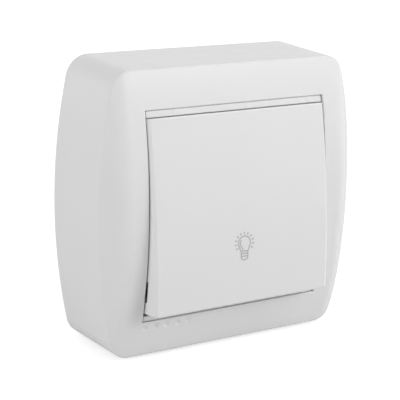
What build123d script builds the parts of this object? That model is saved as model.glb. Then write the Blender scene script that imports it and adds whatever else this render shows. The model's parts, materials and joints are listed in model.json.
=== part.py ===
from build123d import *
import math
import os

# Illuminated push-button switch for mounting on the surface of a wall.
# X runs to the right, Z up, and the front faces -Y. The wall is the plane y = 0.
# "Depth" is the distance in front of the wall, so a point at depth d has y = -d.

# Cover
opening_width = 54.8
opening_height = 56.2
opening_edge_radius = 0.25
side_margin = 12.6  # from the opening to the widest part of each side
end_margin = 10.9  # from the opening to the top and the bottom
side_bulge = 4.7  # each side stands out this much at mid height
cover_corner = 6.6
cover_edge_stand = 1.8  # its top and bottom edges stand this far in front of the pivot
crown_height = 5.8  # how much further the front stands out at mid height
roll_width = 8.0  # the front rolls off over this width at each side
roll_drop = 6.9  # how far it has dropped at the edge
cover_draft = 2.0  # degrees
cover_wall = 2.0
cover_edge_radius = 0.7
sweep_margin = 3.5  # degrees, the crowned profile is swept on past the cover
past = 1.0  # cuts and roots run on past a face by this much
small_clearance = 0.05  # around pieces that sit in a hole

# Dimples moulded under the opening, at the left
dimple_count = 5
dimple_pitch = 3.28
dimple_inset = 7.5  # from the left edge of the opening to the middle of the row
dimple_drop = 2.0  # from the lower edge of the opening
dimple_diameter = 1.9
dimple_sink = 0.32

# Button, drawn in its own tilted frame around the pivot
rest_tilt = 6.2  # degrees, lower edge out
press_angle = 9.5  # degrees from rest to the stop
side_gap = 0.25  # between button and opening
button_rise = 9.6  # from the pivot to the middle of the face
button_crown = 1.3
button_end_gap = 0.75  # between rail and button, measured upright
button_shift = -0.25  # the lower edge reaches a little further from the pivot
button_wall = 1.7
button_side_radius = 1.0
button_end_radius = 0.4
skirt_edge = 1.5  # the skirts end this far in front of the pivot
notch_length = 5.7
notch_rise = 6.15  # from the lower edge of the button to the middle of the notch
notch_front_top = 5.1  # in front of the pivot
notch_front_low = 3.9
symbol_height = -10.5  # middle of the symbol, from the pivot

# Front frame
rail_height = 1.6
rail_extra = 0.24  # the upper rail is this much higher
rail_sink = 0.4  # below the surface of the cover
rail_radius = 0.45
rail_inner_radius = 0.3
rail_end_radius = 0.25
rail_gap = 0.1
rail_end_gap = 0.3
frame_plate = 1.5
frame_past_post = 4.0  # its plate reaches this far beyond the posts
frame_past_rail = 1.9
frame_corner = 4.0
frame_window_gap = 2.1  # between the mechanism box and the window in the plate
frame_end_rail = 2.5  # the plate reaches this far inwards beyond the rails
frame_over_box = 0.3
driver_notch = 8.8  # room for a screwdriver at the wall screws

# Base
base_plate = 2.2
pad_height = 3.1  # under the mechanism box
base_rim_height = 9.0
base_rim_wall = 1.6
base_clearance = 0.25
wall_screw_inset = 9.0  # from the top and the bottom of the cover
wall_screw_hole = 4.4
cable_entry_width = 16.0
cable_entry_height = 9.0
cable_entry_radius = 2.0
cable_entry_x = 20.0
cable_entry_inset = 11.0  # from the top and the bottom of the cover
post_gap = 4.0  # from the side of the mechanism box to the middle of the post
post_diameter = 6.0
pad_diameter = 6.0
pad_spacing_x = 28.0
pad_spacing_z = 26.0
lug_width = 10.0
lug_x = 18.0
lug_depth = 6.0
lug_thickness = 1.6
lug_reach = 0.7
lug_clearance = 0.3

# Mechanism box
box_width = 42.0
box_top = 19.0
box_below_symbol = 6.0  # its lower end lies this far below the symbol
box_floor = 1.44
box_front_drop = 2.5  # its front edge lies this far behind the pivot
box_wall = 1.5
box_lid = 1.4
box_lip = 1.0
box_corner = 1.2
lip_clearance = 0.15
partition_wall = 1.2
rib_root = 0.1
ear_width = 7.5
ear_height = 9.0
ear_thickness = 1.8

# Screws
mech_shank = 2.9
mech_head = 5.4
mech_head_height = 2.0
terminal_shank = 3.4
terminal_head = 5.2
terminal_head_height = 2.2
slot_width = 0.8
slot_depth = 1.0
screw_hole_clearance = 0.15
head_gap = 0.1  # under the heads of the terminal screws
terminal_screw_tip = 1.0  # from the tips to the bars
mech_screw_tip = 1.5  # from the tips to the base plate

# Rocker
trunnion_diameter = 3.8
trunnion_clearance = 0.05  # running fit
hub_diameter = 6.4
rocker_inset = 7.4  # from the side of the mechanism box
cradle_back = 2.2
cradle_front = 4.4
cradle_top_gap = 0.2  # below the terminals
cradle_below_symbol = 3.5
cheek_gap = 0.4
cheek_thickness = 2.2
cheek_radius = 3.4
window_inset_top = 4.2  # the lid's window is shorter than the cradle
window_inset_bottom = 0.4
clip_inset = 3.6  # from the rocker's side
clip_heights = (6.0, -5.6)
clip_boss = 4.4
clip_pin = 2.3
clip_fit = 0.05
nose_step = 7.0  # from the right terminal
nose_width = 3.0
nose_reach = 10.8
nose_drop = 6.9
nose_half_height = 0.8
nose_radius = 0.76
tail_width = 5.0
tail_past_spring = 2.0  # beyond the spring's axis
tail_top = 0.8
tail_thickness = 2.4

# Return spring
spring_diameter = 4.4
spring_wire = 0.6
spring_turns = 5.0
spring_arm = 8.0  # from the pivot to the spring's axis
ledge_drop = 1.6  # from the terminals to the spring's ledge
ledge_thickness = 1.2
spring_peg = 2.2
spring_peg_height = 1.2
ledge_rim = 0.9  # beside the spring
ledge_gap = 0.2  # beside the neutral bar
ledge_reach = 3.0  # in front of the spring's axis
stop_width = 4.0
stop_height = 2.0
stop_gap = 0.4  # under the tail at rest
stop_inset = 1.5
stop_overlap = 2.0

# Contacts and bars
strip = 0.9  # thickness of the brass bars
blade_thickness = 0.4
blade_width = 4.4
blade_root_drop = 4.2  # from the terminals
blade_top_drop = 1.2
blade_tip_drop = 1.8  # from the contact
blade_gap = 0.15  # between nose and blade
contact_rise = 4.5  # from the lower end of the box
contact_diameter = 3.6
contact_shank = 1.6
contact_height = 0.9
contact_left_gap = 0.1  # left open at the end of the stroke
rivet_head = 2.6
blade_corner = 1.2
bar_boss = 1.5
bar_boss_hole = 2.0
bar_margin = 0.5
bar_post_inset = 0.4
neutral_bar_bottom = 1.5
neutral_post_inset = 1.5
neutral_post_gap = 2.7  # from its upper end to the cage
neutral_post_width = 4.0
tongue_width = 4.4
tongue_overrun = 0.4  # the bars end this far above the cages
riser_gap = 1.6  # between the load bar's riser and its cage

# Terminals
cage_width = 7.6
cage_wall = 1.0
cage_front_wall = 1.6
cage_height = 6.6
cage_top_gap = 0.7  # under the box's upper wall
wire_space = 4.55
neutral_cage_gap = 1.7  # from its cage to the inner side of the box
load_cage_gap = 0.7
line_terminal_x = 1.0
wire_hole = 4.2
driver_hole = 6.2
cage_seat_inset = 0.6

# Lamp
lamp_diameter = 5.0
lamp_inset = 12.0  # from the inner side of the box
lamp_end_gap = 2.3  # between its tip and the contact blade
lamp_drop = 8.4  # its axis lies this far behind the pivot
lamp_rise = 0.5  # above the symbol's height
lead_diameter = 0.6
lead_bend = 1.2
lead_spacing = 2.0  # between the two leads at the lamp
lead_side_step = 3.7  # from the lamp's end to the first lead's bend
lead_floor_gap = 1.5
lead_end_step = 1.4  # from the middle of the line terminal
lead_turn = 1.8
lead_joint = 2.0  # half the length soldered to the bar
lead_straight = 2.5  # beyond each end of the resistor
lead_neutral_start = 1.0
lead_neutral_end = 1.1
lamp_rib_inset = 2.5
lamp_rib_height = 6.4
lamp_tip_flat = 0.4
guide_diameter = 4.4
guide_flange = 6.8
guide_flange_height = 1.0
guide_reach = 4.0  # behind the pivot
guide_clearance = 0.2
guide_gap = 0.15  # behind the face of the button
resistor_diameter = 2.4
resistor_length = 6.3
resistor_inset = 4.5  # from the inner side of the box
resistor_drop = 13.0
resistor_rise = 7.0  # from the lower end of the box
resistor_radius = 0.5
resistor_rest = 2.0
resistor_rest_inset = 1.0

# Worked out from the above
cover_width = opening_width + 2 * side_margin
cover_height = opening_height + 2 * end_margin
crown_radius = (cover_height**2 / 4 + crown_height**2) / (2 * crown_height)
flat_half_width = cover_width / 2 - roll_width
roll_off = roll_drop / roll_width**2
opening_half = opening_height / 2
dimple_row_x = dimple_inset - opening_width / 2
dimple_row_z = -opening_half - dimple_drop
button_width = opening_width - 2 * side_gap
button_height = opening_height - 2 * (rail_gap + rail_height + button_end_gap)
button_top = button_height / 2 + button_shift
button_bottom = -button_height / 2 + button_shift
notch_middle = button_bottom + notch_rise
rail_outer = opening_half - rail_gap
rail_inner = rail_outer - rail_height
wall_screw_spacing = cover_height - 2 * wall_screw_inset
cable_entry_z = cover_height / 2 - cable_entry_inset
post_x = box_width / 2 + post_gap
rocker_half_width = box_width / 2 - rocker_inset
clip_x = rocker_half_width - clip_inset
box_inner_width = box_width - 2 * box_wall
box_bottom = symbol_height - box_below_symbol
cage_bottom = box_top - box_wall - cage_top_gap - cage_height
cradle_top = cage_bottom - cradle_top_gap
cradle_bottom = symbol_height - cradle_below_symbol
tail_reach = spring_arm + tail_past_spring
spring_ledge_z = cage_bottom - ledge_drop
blade_root_z = cage_bottom - blade_root_drop
blade_top_z = cage_bottom - blade_top_drop
contact_z = box_bottom + contact_rise
blade_tip_z = contact_z - blade_tip_drop
lamp_z = symbol_height + lamp_rise
resistor_bottom = box_bottom + resistor_rise
terminal_x = {
    "neutral": cage_width / 2 + neutral_cage_gap - box_inner_width / 2,
    "line": line_terminal_x,
    "load": box_inner_width / 2 - load_cage_gap - cage_width / 2,
}
nose_x = terminal_x["load"] - nose_step
ledge_width = spring_diameter + 2 * ledge_rim
tail_x = terminal_x["neutral"] + tongue_width / 2 + ledge_gap + ledge_width / 2
resistor_x = resistor_inset - box_inner_width / 2
lamp_left = lamp_inset - box_inner_width / 2
lamp_length = nose_x - blade_width / 2 - lamp_end_gap - lamp_left
lead_end_x = terminal_x["line"] - lead_end_step
draft_at_rim = base_rim_height * math.tan(math.radians(cover_draft))
base_outline_inset = cover_wall + base_clearance + draft_at_rim

cos_tilt = math.cos(math.radians(rest_tilt))
sin_tilt = math.sin(math.radians(rest_tilt))

# The pivot stands on what lies behind it: base, pads, floor, contacts, blade and nose
press_turn = math.radians(press_angle)
nose_arm = nose_reach * cos_tilt - nose_drop * sin_tilt
nose_tip_z = -nose_reach * sin_tilt - nose_drop * cos_tilt
nose_stroke = nose_arm * (math.cos(press_turn) - 1) - nose_tip_z * math.sin(press_turn)
nose_end_z = nose_arm * math.sin(press_turn) + nose_tip_z * math.cos(press_turn)
blade_swing = math.asin(nose_stroke / (blade_root_z - nose_end_z))
contact_stroke = (blade_root_z - contact_z + contact_diameter / 2) * math.sin(blade_swing)
box_back_depth = base_plate + pad_height
contact_stack = strip + 2 * contact_height + contact_left_gap + contact_stroke
blade_stack = blade_thickness + blade_gap + nose_arm
pivot_depth = round(box_back_depth + box_floor + contact_stack + blade_stack, 2)
box_front_depth = pivot_depth - box_front_drop
lid_front_depth = box_front_depth + box_lid
frame_front_depth = box_front_depth + frame_over_box
post_height = frame_front_depth - frame_plate - ear_thickness
lamp_depth = pivot_depth - lamp_drop
resistor_depth = pivot_depth - resistor_drop
cover_edge_depth = pivot_depth + cover_edge_stand
cover_depth = cover_edge_depth + crown_height
crown_axis_y = crown_radius - cover_depth


def depth_at(z, sink=0.0):
    """Depth of the cover's crowned front, or of a surface sunk below it, at height z."""
    return math.sqrt((crown_radius - sink) ** 2 - z**2) - crown_axis_y


def from_swing(out, up):
    """Depth and height of a point given in the button's tilted frame."""
    depth = pivot_depth + out * cos_tilt - up * sin_tilt
    height = out * sin_tilt + up * cos_tilt
    return depth, height


# The nose sets where the blade stands, and the blade sets the bars and the floor
blade_front = pivot_depth - nose_arm - blade_gap
blade_back = blade_front - blade_thickness
bar_back = blade_back - strip
contact_face = blade_back - contact_height
fixed_face = contact_face - contact_stroke - contact_left_gap
floor_depth = fixed_face - contact_height - strip
cage_back = bar_back - cage_wall - small_clearance
cage_front = blade_back + wire_space + cage_front_wall

wall_plane = Plane.XZ
side_plane = Plane(origin=(0, 0, 0), x_dir=(0, -1, 0), z_dir=(-1, 0, 0))
swing_side = Plane(origin=(0, -pivot_depth, 0), x_dir=(0, -cos_tilt, sin_tilt), z_dir=(-1, 0, 0))
swing_front = Plane(origin=(0, -pivot_depth, 0), x_dir=(1, 0, 0), z_dir=(0, -cos_tilt, sin_tilt))
swing_top = Plane(origin=(0, -pivot_depth, 0), x_dir=(1, 0, 0), z_dir=(0, sin_tilt, cos_tilt))

os.makedirs("parts", exist_ok=True)


def save(piece, name):
    """Label a finished piece and write it."""
    piece.part.label = name
    export_step(piece.part, f"parts/{name}.step")


def at_depth(depth):
    """The plane parallel to the wall at this depth, looking from the front."""
    return wall_plane.offset(depth)


# Outline of the cover: straight top and bottom, sides as shallow arcs
def cover_outline(inset):
    """The cover's outline as a face, moved inwards by inset."""
    half_height = cover_height / 2
    corner_x = cover_width / 2 - side_bulge
    with BuildSketch() as outline:
        with BuildLine():
            Line((-corner_x, half_height), (corner_x, half_height))
            ThreePointArc((corner_x, half_height), (cover_width / 2, 0), (corner_x, -half_height))
            Line((corner_x, -half_height), (-corner_x, -half_height))
            ThreePointArc((-corner_x, -half_height), (-cover_width / 2, 0), (-corner_x, half_height))
        make_face()
        fillet(outline.vertices(), cover_corner)
        if inset:
            offset(amount=-inset, mode=Mode.REPLACE)
    return outline.sketch


# The front is a crowned profile swept round an axis far behind the wall
def crowned_form(wall):
    """Solid bounded by the crowned front and the drafted sides, moved inwards by wall."""
    half_turn = math.degrees(math.atan2(cover_height / 2, crown_axis_y)) + sweep_margin
    sweep_reach = roll_width + 2 * past
    start = Plane(
        origin=(0, crown_axis_y, 0),
        x_dir=(1, 0, 0),
        z_dir=(0, -math.sin(math.radians(half_turn)), -math.cos(math.radians(half_turn))),
    )
    surface = crown_radius - wall
    straight = flat_half_width - wall
    edge_x = straight + sweep_reach
    edge_surface = surface - roll_off * sweep_reach**2
    behind_wall = crown_axis_y - past
    with BuildPart() as form:
        with BuildSketch(wall_plane):
            add(cover_outline(wall))
        extrude(amount=cover_depth + past, taper=cover_draft)
        with BuildSketch(start):
            with BuildLine() as profile:
                Line((0, surface), (straight, surface))
                Bezier(
                    (straight, surface),
                    (straight + sweep_reach / 2, surface),
                    (edge_x, edge_surface),
                )
                Line((edge_x, edge_surface), (edge_x, behind_wall))
                Line((edge_x, behind_wall), (0, behind_wall))
                mirror(about=Plane.YZ)
            make_face()
        revolve(
            axis=Axis((0, crown_axis_y, 0), (1, 0, 0)),
            revolution_arc=2 * half_turn,
            mode=Mode.INTERSECT,
        )
    return form.part


# Cover: one moulded shell with a square opening
dimple_radius = ((dimple_diameter / 2) ** 2 + dimple_sink**2) / (2 * dimple_sink)
dimple_depth = depth_at(dimple_row_z, -(dimple_radius - dimple_sink))
pocket_height = cover_height / 2 - cover_wall
with BuildPart() as cover:
    add(crowned_form(0.0))
    front_edges = cover.edges().filter_by(
        lambda edge: edge.center().Y < -cover_edge_depth / 2
        and edge.bounding_box().size.X > 0.01
        and edge.bounding_box().size.Y < cover_edge_depth / 2
    )
    fillet(front_edges, cover_edge_radius)
    add(crowned_form(cover_wall), mode=Mode.SUBTRACT)
    with BuildSketch(wall_plane):
        Rectangle(opening_width, opening_height)
    extrude(amount=cover_depth + past, mode=Mode.SUBTRACT)
    opening_edges = cover.edges().filter_by(
        lambda edge: abs(edge.center().X) < opening_width / 2 + 0.01
        and abs(edge.center().Z) < opening_half + 0.01
        and -edge.center().Y > depth_at(edge.center().Z, cover_wall / 2)
    )
    fillet(opening_edges, opening_edge_radius)
    dimple_places = [
        (dimple_row_x + (place - (dimple_count - 1) / 2) * dimple_pitch, -dimple_depth, dimple_row_z)
        for place in range(dimple_count)
    ]
    for dimple_place in dimple_places:
        with Locations(dimple_place):
            Sphere(dimple_radius, mode=Mode.SUBTRACT)
    with BuildSketch(at_depth(lug_depth - lug_thickness / 2 - lug_clearance)):
        with GridLocations(2 * lug_x, 2 * pocket_height, 2, 2):
            Rectangle(lug_width + 2 * lug_clearance, 2 * lug_reach)
    extrude(amount=lug_thickness + 2 * lug_clearance, mode=Mode.SUBTRACT)
save(cover, "cover")

# Base: the tray that is screwed to the wall
rim_half = cover_height / 2 - base_outline_inset
with BuildPart() as base:
    with BuildSketch(wall_plane):
        add(cover_outline(base_outline_inset))
    extrude(amount=base_rim_height)
    with BuildSketch(at_depth(base_plate)):
        add(cover_outline(base_outline_inset + base_rim_wall))
    extrude(amount=base_rim_height, mode=Mode.SUBTRACT)
    with BuildSketch(at_depth(lug_depth - lug_thickness / 2)):
        with GridLocations(2 * lug_x, 2 * rim_half, 2, 2):
            Rectangle(lug_width, 2 * lug_reach)
    extrude(amount=lug_thickness)
    with BuildSketch(at_depth(base_plate)):
        with GridLocations(2 * post_x, 0, 2, 1):
            Circle(post_diameter / 2)
    extrude(amount=post_height - base_plate)
    with BuildSketch(at_depth(base_plate)):
        with GridLocations(pad_spacing_x, pad_spacing_z, 2, 2):
            Circle(pad_diameter / 2)
    extrude(amount=box_back_depth - base_plate)
    with BuildSketch(wall_plane):
        with GridLocations(0, wall_screw_spacing, 1, 2):
            Circle(wall_screw_hole / 2)
        with GridLocations(2 * cable_entry_x, 0, 2, 1):
            with Locations((0, cable_entry_z)):
                RectangleRounded(cable_entry_width, cable_entry_height, cable_entry_radius)
    extrude(amount=base_plate, mode=Mode.SUBTRACT)
    with BuildSketch(at_depth(post_height)):
        with GridLocations(2 * post_x, 0, 2, 1):
            Circle(mech_shank / 2 + small_clearance)
    extrude(amount=-(post_height - base_plate), mode=Mode.SUBTRACT)
save(base, "base")

# Front frame: its two rails show above and below the button
rail_front = depth_at(rail_outer, rail_sink)
rail_root = frame_front_depth - frame_plate / 3
rail_half_width = opening_width / 2 - rail_end_gap
with BuildPart() as front_frame:
    with BuildSketch(at_depth(frame_front_depth - frame_plate)):
        RectangleRounded(
            2 * (post_x + frame_past_post),
            2 * (opening_half + frame_past_rail),
            frame_corner,
        )
        Rectangle(
            box_width + 2 * frame_window_gap,
            2 * (rail_inner - frame_end_rail),
            mode=Mode.SUBTRACT,
        )
        with GridLocations(2 * post_x, 0, 2, 1):
            Circle(mech_shank / 2 + screw_hole_clearance, mode=Mode.SUBTRACT)
        with GridLocations(0, wall_screw_spacing, 1, 2):
            Circle(driver_notch / 2, mode=Mode.SUBTRACT)
    extrude(amount=frame_plate)
    for end, inner in ((1, rail_inner - rail_extra), (-1, rail_inner)):
        with BuildSketch(side_plane) as rail_section:
            with BuildLine():
                Polyline(
                    (rail_root, end * inner),
                    (depth_at(inner, rail_sink), end * inner),
                    (rail_front, end * rail_outer),
                    (rail_root, end * rail_outer),
                    close=True,
                )
            make_face()
            for place, radius in ((0, rail_inner_radius), (-1, rail_radius)):
                front_corners = rail_section.vertices().filter_by(
                    lambda corner: corner.X > rail_root + past
                )
                fillet(front_corners.sort_by(lambda corner: end * corner.Y)[place], radius)
        extrude(amount=rail_half_width, both=True)
    rail_ends = front_frame.edges().filter_by(
        lambda edge: abs(edge.center().X) > rail_half_width - rail_end_gap
        and -edge.center().Y > rail_front - rail_radius
    )
    fillet(rail_ends, rail_end_radius)
save(front_frame, "front_frame")

# Button: a crowned plate with skirts, drawn in its tilted frame
def button_form(inset, rear):
    """Solid of the button moved inwards by inset, from its face back to rear."""
    rise = button_rise - inset
    top = button_top - inset
    bottom = button_bottom + inset
    with BuildPart() as form:
        with BuildSketch(swing_side):
            with BuildLine():
                ThreePointArc(
                    (rise - button_crown, top),
                    (rise, button_shift),
                    (rise - button_crown, bottom),
                )
                Polyline(
                    (rise - button_crown, bottom),
                    (rear, bottom),
                    (rear, top),
                    (rise - button_crown, top),
                )
            make_face()
        extrude(amount=button_width / 2 - inset, both=True)
    return form.part


with BuildPart() as button:
    add(button_form(0.0, skirt_edge))
    face = button.faces().sort_by(Axis.Y)[0]
    side_edges = face.edges().filter_by(GeomType.CIRCLE)
    fillet(side_edges, button_side_radius)
    end_edges = button.faces().sort_by(Axis.Y)[0].edges().filter_by(Axis.X)
    fillet(end_edges, button_end_radius)
    add(button_form(button_wall, skirt_edge - past), mode=Mode.SUBTRACT)
    with BuildSketch(swing_side.offset(button_width / 2 - button_wall - past)):
        with BuildLine():
            Polyline(
                (skirt_edge - past, notch_middle - notch_length / 2),
                (notch_front_low, notch_middle - notch_length / 2),
                (notch_front_top, notch_middle + notch_length / 2),
                (skirt_edge - past, notch_middle + notch_length / 2),
                close=True,
            )
        make_face()
    extrude(amount=button_wall + 2 * past, mode=Mode.SUBTRACT)
    with BuildSketch(swing_front.offset(cradle_front)):
        for height in clip_heights:
            with Locations((-clip_x, height), (clip_x, height)):
                Circle(clip_boss / 2)
    extrude(until=Until.NEXT)
    with BuildSketch(swing_front.offset(cradle_back)):
        for height in clip_heights:
            with Locations((-clip_x, height), (clip_x, height)):
                Circle(clip_pin / 2)
    extrude(amount=cradle_front - cradle_back + past)
save(button, "button")

# Mechanism box: terminals along the top, contacts at the right, lamp at the bottom
box_height = box_top - box_bottom
box_centre_z = (box_top + box_bottom) / 2
box_inner_height = box_height - 2 * box_wall
ear_front = frame_front_depth - frame_plate
ear_x = (box_width + ear_width - box_wall / 2) / 2
stop_top = from_swing(-tail_reach + stop_inset, tail_top - tail_thickness)[1] - stop_gap
stop_depth = pivot_depth - tail_reach + stop_overlap
lamp_rib_x = (lamp_left + lamp_rib_inset, lamp_left + lamp_length - lamp_rib_inset)
resistor_back = resistor_depth - resistor_diameter / 2
ledge_front = pivot_depth - spring_arm + ledge_reach


def rib(x, width, bottom, top, to_depth):
    """Stand a block on the floor of the box: its middle, width, ends and depth."""
    with BuildSketch(at_depth(floor_depth - rib_root)) as foot:
        with Locations((x, (bottom + top) / 2)):
            Rectangle(width, top - bottom)
    extrude(foot.sketch, amount=to_depth - floor_depth + rib_root)


with BuildPart() as mechanism_housing:
    with BuildSketch(at_depth(box_back_depth)):
        with Locations((0, box_centre_z)):
            Rectangle(box_width, box_height)
    extrude(amount=box_front_depth - box_back_depth)
    fillet(mechanism_housing.edges().filter_by(Axis.Y), box_corner)
    with BuildSketch(at_depth(floor_depth)):
        with Locations((0, box_centre_z)):
            Rectangle(box_inner_width, box_inner_height)
    extrude(amount=box_front_depth - floor_depth, mode=Mode.SUBTRACT)
    with BuildSketch(at_depth(ear_front - ear_thickness)):
        with GridLocations(2 * ear_x, 0, 2, 1):
            Rectangle(ear_width, ear_height)
        with GridLocations(2 * post_x, 0, 2, 1):
            Circle(mech_shank / 2 + screw_hole_clearance, mode=Mode.SUBTRACT)
    extrude(amount=ear_thickness)
    inner_top = box_top - box_wall
    for x in terminal_x.values():
        rib(x, cage_width, cage_bottom + cage_seat_inset, inner_top, cage_back)
    cage_middle = (blade_back + cage_front - cage_front_wall) / 2
    with BuildSketch(Plane.XY.offset(box_top + past)):
        with Locations(*[(x, -cage_middle) for x in terminal_x.values()]):
            Circle(wire_hole / 2)
    extrude(amount=-(box_wall + 2 * past), mode=Mode.SUBTRACT)
    for left, right in (("neutral", "line"), ("line", "load")):
        middle = (terminal_x[left] + terminal_x[right]) / 2
        rib(middle, partition_wall, cage_bottom, inner_top, cage_front)
    rib(tail_x, ledge_width, spring_ledge_z, spring_ledge_z + ledge_thickness, ledge_front)
    rib(tail_x, stop_width, stop_top - stop_height, stop_top, stop_depth)
    rib(nose_x, blade_width, blade_root_z + bar_post_inset, blade_top_z, bar_back)
    neutral_post = neutral_bar_bottom + neutral_post_inset
    neutral_post_top = cage_bottom - neutral_post_gap
    rib(terminal_x["neutral"], neutral_post_width, neutral_post, neutral_post_top, bar_back)
    rest_bottom = resistor_bottom + resistor_rest_inset
    rest_top = resistor_bottom + resistor_length - resistor_rest_inset
    rib(resistor_x, resistor_rest, rest_bottom, rest_top, resistor_back)
    for x in lamp_rib_x:
        rib(x, partition_wall, lamp_z - lamp_rib_height / 2, lamp_z + lamp_rib_height / 2, lamp_depth)
    with BuildSketch(Plane.YZ.offset(lamp_left - past)):
        with Locations((-lamp_depth, lamp_z)):
            Circle(lamp_diameter / 2 + small_clearance)
    extrude(amount=lamp_length + 2 * past, mode=Mode.SUBTRACT)
    with BuildSketch(Plane.XY.offset(spring_ledge_z + ledge_thickness / 2)):
        with Locations((tail_x, -(pivot_depth - spring_arm))):
            Circle(spring_peg / 2)
    extrude(amount=-(spring_peg_height + ledge_thickness / 2))
save(mechanism_housing, "mechanism_housing")

# Mechanism cover: the lid, with the two cheeks that carry the rocker
cheek_inner = rocker_half_width + cheek_gap
cheek_root = lid_front_depth - box_lid / 2
lip_width = box_inner_width - 2 * lip_clearance
lip_height = box_inner_height - 2 * lip_clearance
window_top = cradle_top - window_inset_top
window_bottom = cradle_bottom + window_inset_bottom
with BuildPart() as mechanism_cover:
    with BuildSketch(at_depth(box_front_depth)):
        with Locations((0, box_centre_z)):
            RectangleRounded(box_width, box_height, box_corner)
    extrude(amount=box_lid)
    with BuildSketch(at_depth(box_front_depth)):
        with Locations((0, box_centre_z)):
            Rectangle(lip_width, lip_height)
            Rectangle(lip_width - 2 * box_lip, lip_height - 2 * box_lip, mode=Mode.SUBTRACT)
    extrude(amount=-box_lip)
    with BuildSketch(side_plane.offset(-cheek_inner - cheek_thickness)):
        with Locations((pivot_depth, 0)):
            Circle(cheek_radius)
        with Locations(((pivot_depth + cheek_root) / 2, 0)):
            Rectangle(pivot_depth - cheek_root, 2 * cheek_radius)
    extrude(amount=cheek_thickness)
    mirror(about=Plane.YZ)
    with BuildSketch(at_depth(lid_front_depth + past)):
        with Locations((0, (window_top + window_bottom) / 2)):
            Rectangle(2 * cheek_inner, window_top - window_bottom)
        with Locations(*[(x, cage_bottom + cage_height / 2) for x in terminal_x.values()]):
            Circle(driver_hole / 2)
    extrude(amount=-(box_lid + box_lip + 2 * past), mode=Mode.SUBTRACT)
    with BuildSketch(side_plane.offset(-box_width / 2)):
        with Locations((pivot_depth, 0)):
            Circle(trunnion_diameter / 2 + trunnion_clearance)
    extrude(amount=box_width, mode=Mode.SUBTRACT)
save(mechanism_cover, "mechanism_cover")

# Rocker: cradle, trunnions, contact nose and spring tail
with BuildPart() as rocker:
    with BuildSketch(swing_side):
        Circle(hub_diameter / 2)
        with Locations(((cradle_back + past) / 2, 0)):
            Rectangle(cradle_back + past, hub_diameter)
        with Locations(((cradle_back + cradle_front) / 2, (cradle_top + cradle_bottom) / 2)):
            Rectangle(cradle_front - cradle_back, cradle_top - cradle_bottom)
    extrude(amount=rocker_half_width, both=True)
    with BuildSketch(swing_side):
        Circle(trunnion_diameter / 2)
    extrude(amount=cheek_inner + cheek_thickness, both=True)
    with BuildSketch(swing_side.offset(-nose_x)):
        with BuildLine():
            Polyline(
                (0, hub_diameter / 2),
                (-nose_reach, -nose_drop + nose_half_height),
                (-nose_reach, -nose_drop - nose_half_height),
                (0, -hub_diameter / 2),
                close=True,
            )
        nose_side = make_face()
        fillet(nose_side.vertices().group_by(Axis.X)[0], nose_radius)
    extrude(amount=nose_width / 2, both=True)
    with BuildSketch(swing_side.offset(-tail_x)):
        with Locations((-tail_reach / 2, tail_top - tail_thickness / 2)):
            Rectangle(tail_reach, tail_thickness)
    extrude(amount=tail_width / 2, both=True)
    with BuildSketch(swing_top.offset(tail_top)):
        with Locations((tail_x, spring_arm)):
            Circle(spring_peg / 2)
    extrude(amount=spring_peg_height)
    with BuildSketch(swing_front.offset(cradle_front)):
        for height in clip_heights:
            with Locations((-clip_x, height), (clip_x, height)):
                Circle(clip_pin / 2 + clip_fit)
        with Locations((0, symbol_height)):
            Circle(guide_diameter / 2 + guide_clearance)
    extrude(amount=-(cradle_front - cradle_back + past), mode=Mode.SUBTRACT)
save(rocker, "rocker")

# Light guide: the clear rod behind the symbol
with BuildPart() as light_guide:
    crown_drop = button_crown * ((symbol_height - button_shift) / (button_height / 2)) ** 2
    face_inside = button_rise - button_wall - crown_drop
    with BuildSketch(swing_front.offset(-guide_reach)):
        with Locations((0, symbol_height)):
            Circle(guide_diameter / 2)
    extrude(amount=guide_reach + face_inside - guide_gap)
    with BuildSketch(swing_front.offset(cradle_front)):
        with Locations((0, symbol_height)):
            Circle(guide_flange / 2)
    extrude(amount=guide_flange_height)
save(light_guide, "light_guide")

# Return spring, between the rocker's tail and the ledge in the box
spring_seat = from_swing(-spring_arm, tail_top)[1] + spring_diameter / 2 * sin_tilt
spring_foot = spring_seat + small_clearance
spring_length = spring_ledge_z - spring_foot - small_clearance / 2
with BuildPart() as return_spring:
    coil_height = spring_length - spring_wire
    coil_radius = (spring_diameter - spring_wire) / 2
    spring_base = Plane((tail_x, -(pivot_depth - spring_arm), spring_foot + spring_wire / 2))
    with BuildLine(spring_base) as coil:
        Helix(pitch=coil_height / spring_turns, height=coil_height, radius=coil_radius)
    with BuildSketch(Plane(coil.line @ 0, z_dir=coil.line % 0)):
        Circle(spring_wire / 2)
    sweep(path=coil.line)
save(return_spring, "return_spring")

# Contact blade with its moving contact
with BuildPart() as contact_blade:
    with BuildSketch(at_depth(blade_back)):
        with Locations((nose_x, (blade_top_z + blade_tip_z) / 2)):
            Rectangle(blade_width, blade_top_z - blade_tip_z)
        with Locations((nose_x, contact_z)):
            Circle(contact_shank / 2 + small_clearance, mode=Mode.SUBTRACT)
        with Locations((nose_x, (blade_root_z + blade_top_z) / 2)):
            Circle(bar_boss_hole / 2, mode=Mode.SUBTRACT)
    extrude(amount=blade_thickness)
    fillet(contact_blade.edges().filter_by(Axis.Y).group_by(Axis.Z)[0], blade_corner)
save(contact_blade, "contact_blade")

with BuildPart() as moving_contact:
    with BuildSketch(at_depth(contact_face)):
        with Locations((nose_x, contact_z)):
            Circle(contact_diameter / 2)
    extrude(amount=contact_height)
    fillet(moving_contact.faces().sort_by(Axis.Y)[-1].edges(), contact_height / 3)
    with BuildSketch(at_depth(blade_back)):
        with Locations((nose_x, contact_z)):
            Circle(contact_shank / 2)
    extrude(amount=blade_thickness)
    with BuildSketch(at_depth(blade_front)):
        with Locations((nose_x, contact_z)):
            Circle(rivet_head / 2)
    extrude(amount=blade_thickness)
save(moving_contact, "moving_contact")

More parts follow.
